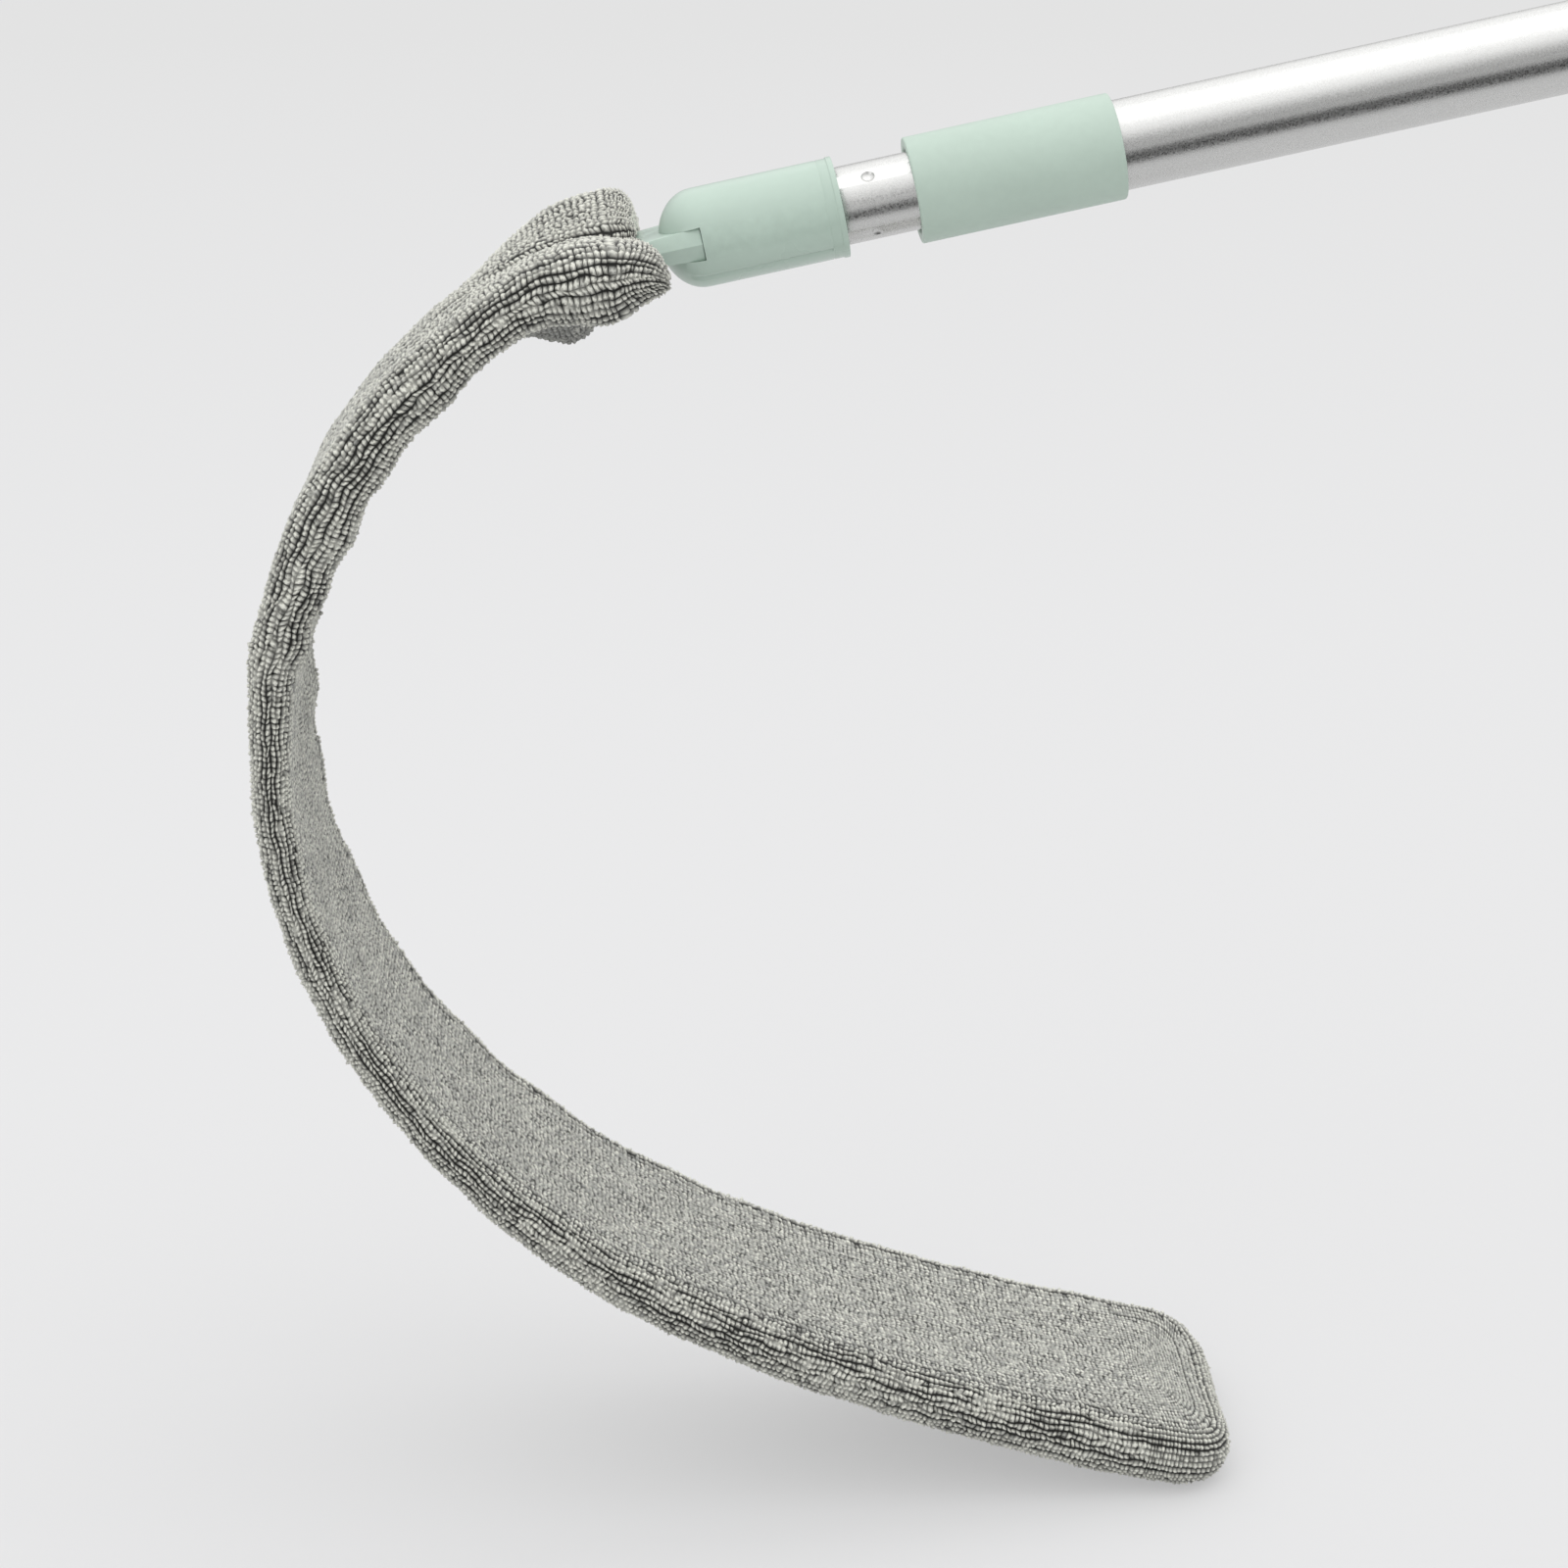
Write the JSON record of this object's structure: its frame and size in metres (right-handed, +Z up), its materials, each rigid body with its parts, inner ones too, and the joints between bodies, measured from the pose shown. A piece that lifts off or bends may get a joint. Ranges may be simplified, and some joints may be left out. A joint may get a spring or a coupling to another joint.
{
  "type": "extendable duster",
  "caption": "Telescopic twist-lock duster whose flat flexible blade, in a looped microfibre sleeve, holds a bend for reaching over and behind things; its grip has a hanging eye.",
  "frame": {"origin": "on the floor under the middle of the bounding box, with the sleeve's tip touching the floor", "axes": "+X along the floor from the head towards the grip, +Y across the blade, away from the side first seen, +Z up; the pole rises towards +X at 11.7 degrees"},
  "size_m": [0.7914, 0.08, 0.4795],
  "materials": {
    "mint_plastic": "satin, pale mint green",
    "connector_plastic": "semi-gloss, pale mint green",
    "pole_aluminium": "fine satin anodised",
    "lock_plastic": "natural moulded",
    "blade_plastic": "smooth moulded",
    "steel": "bright zinc",
    "microfibre": "looped grey microfibre pile"
  },
  "bodies": {
    "handle": {"outer_tube": "pole_aluminium", "front_collar": "mint_plastic", "mouth_bush": "lock_plastic", "grip": "mint_plastic", "end_cap": "mint_plastic"},
    "lock": {"lock_expander": "lock_plastic"},
    "cone": {"lock_cone": "lock_plastic"},
    "head": {"inner_tube": "pole_aluminium", "tip_plug": "lock_plastic", "lock_plug": "lock_plastic", "lock_washer": "steel", "lock_screw": "steel", "connector": "connector_plastic", "neck_tongue": "connector_plastic", "blade_root": "blade_plastic", "blade_rivet_1": "steel", "blade_rivet_2": "steel", "sleeve_mouth": "microfibre"},
    "flex_1": {"blade_1": "blade_plastic", "sleeve_1": "microfibre"},
    "flex_2": {"blade_2": "blade_plastic", "sleeve_2": "microfibre"},
    "flex_3": {"blade_3": "blade_plastic", "sleeve_3": "microfibre"},
    "flex_4": {"blade_4": "blade_plastic", "sleeve_4": "microfibre"},
    "flex_5": {"blade_5": "blade_plastic", "sleeve_5": "microfibre"},
    "flex_6": {"blade_6": "blade_plastic", "sleeve_6": "microfibre"},
    "flex_7": {"blade_7": "blade_plastic", "sleeve_7": "microfibre"},
    "flex_8": {"blade_8": "blade_plastic", "sleeve_8": "microfibre"},
    "flex_9": {"blade_9": "blade_plastic", "sleeve_9": "microfibre"},
    "flex_10": {"blade_10": "blade_plastic", "sleeve_10": "microfibre"}
  },
  "joints": [
    {"name": "pole_extend", "type": "slide", "parent": "handle", "child": "lock", "axis": [-0.9792, 0, -0.2028], "range_m": [0, 0.45]},
    {"name": "pole_twist", "type": "hinge", "parent": "lock", "child": "head", "pos_m": [-0.22955, 0, 0.3429], "axis": [0.9792, 0, 0.2028], "range_deg": [0, 180]},
    {"name": "lock_cone_travel", "type": "slide", "parent": "lock", "child": "cone", "axis": [-0.9792, 0, -0.2028], "range_m": [0, 0.00101]},
    {"name": "blade_flex_1", "type": "hinge", "parent": "head", "child": "flex_1", "pos_m": [-0.32113, 0, 0.32215], "axis": [0, -1, 0], "range_deg": [-22.4, 5.6], "deforming": ["sleeve_mouth", "sleeve_1"]},
    {"name": "blade_flex_2", "type": "hinge", "parent": "flex_1", "child": "flex_2", "pos_m": [-0.35591, 0, 0.29739], "axis": [0, -1, 0], "range_deg": [-25.4, 6.35], "deforming": ["sleeve_1", "sleeve_2"]},
    {"name": "blade_flex_3", "type": "hinge", "parent": "flex_2", "child": "flex_3", "pos_m": [-0.3815, 0, 0.25483], "axis": [0, -1, 0], "range_deg": [-21.2, 5.3], "deforming": ["sleeve_2", "sleeve_3"]},
    {"name": "blade_flex_4", "type": "hinge", "parent": "flex_3", "child": "flex_4", "pos_m": [-0.38966, 0, 0.20578], "axis": [0, -1, 0], "range_deg": [-20, 5], "deforming": ["sleeve_3", "sleeve_4"]},
    {"name": "blade_flex_5", "type": "hinge", "parent": "flex_4", "child": "flex_5", "pos_m": [-0.38048, 0, 0.15688], "axis": [0, -1, 0], "range_deg": [-19.5, 4.88], "deforming": ["sleeve_4", "sleeve_5"]},
    {"name": "blade_flex_6", "type": "hinge", "parent": "flex_5", "child": "flex_6", "pos_m": [-0.35582, 0, 0.1136], "axis": [0, -1, 0], "range_deg": [-15.3, 3.83], "deforming": ["sleeve_5", "sleeve_6"]},
    {"name": "blade_flex_7", "type": "hinge", "parent": "flex_6", "child": "flex_7", "pos_m": [-0.32044, 0, 0.07845], "axis": [0, -1, 0], "range_deg": [-12.7, 3.17], "deforming": ["sleeve_6", "sleeve_7"]},
    {"name": "blade_flex_8", "type": "hinge", "parent": "flex_7", "child": "flex_8", "pos_m": [-0.27828, 0, 0.0517], "axis": [0, -1, 0], "range_deg": [-8, 2], "deforming": ["sleeve_7", "sleeve_8"]},
    {"name": "blade_flex_9", "type": "hinge", "parent": "flex_8", "child": "flex_9", "pos_m": [-0.23268, 0, 0.03126], "axis": [0, -1, 0], "range_deg": [-5.2, 1.3], "deforming": ["sleeve_8", "sleeve_9"]},
    {"name": "blade_flex_10", "type": "hinge", "parent": "flex_9", "child": "flex_10", "pos_m": [-0.18526, 0, 0.01547], "axis": [0, -1, 0], "range_deg": [-6.7, 1.68], "deforming": ["sleeve_9", "sleeve_10"]}
  ],
  "couplings": [
    {"joint": "lock_cone_travel", "follows": "pole_twist", "m_per_rad": 0.00031831}
  ]
}
